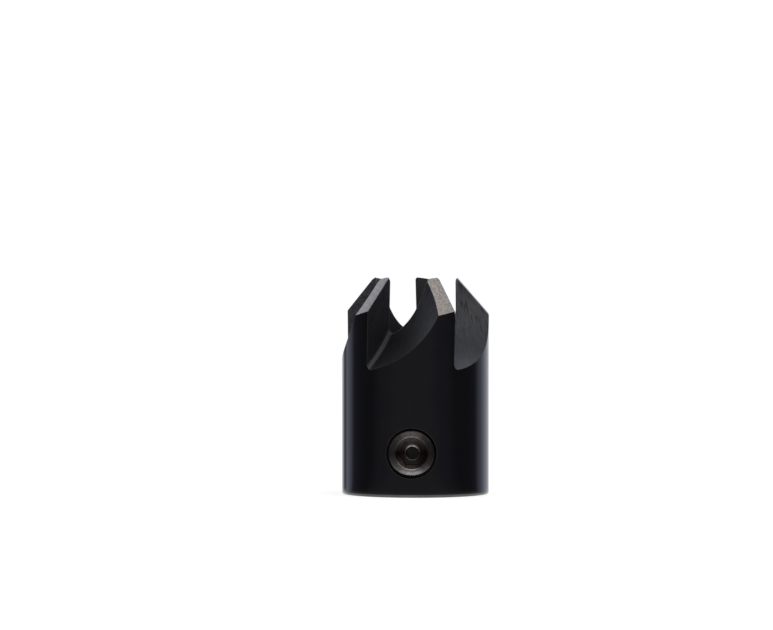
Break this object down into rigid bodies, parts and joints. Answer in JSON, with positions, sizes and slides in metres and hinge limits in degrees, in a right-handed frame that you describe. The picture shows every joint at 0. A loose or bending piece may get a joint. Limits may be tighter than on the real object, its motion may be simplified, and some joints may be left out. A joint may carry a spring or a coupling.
{
  "type": "drill countersink",
  "caption": "Bored steel sleeve with ground countersinking teeth, clamped on a twist drill's shank by a radial set screw.",
  "frame": {"origin": "centre of the flat base, on the bore's axis", "axes": "+Z along the bore's axis from the base to the teeth, -Y towards the set screw's outer face, +X to the right as seen with the set screw in front"},
  "size_m": [0.016, 0.016, 0.0236],
  "materials": {
    "blackened_steel": "black oxide over turned steel, with the lands ground bare",
    "screw_steel": "black oxide, worn bright on its edges"
  },
  "bodies": {
    "countersink": {"countersink_body": "blackened_steel"},
    "set_screw": {"set_screw": "screw_steel"}
  },
  "joints": [
    {"name": "set_screw_travel", "type": "slide", "parent": "countersink", "child": "set_screw", "axis": [0, 1, 0], "range_m": [-0.0016, 0.0008]}
  ]
}
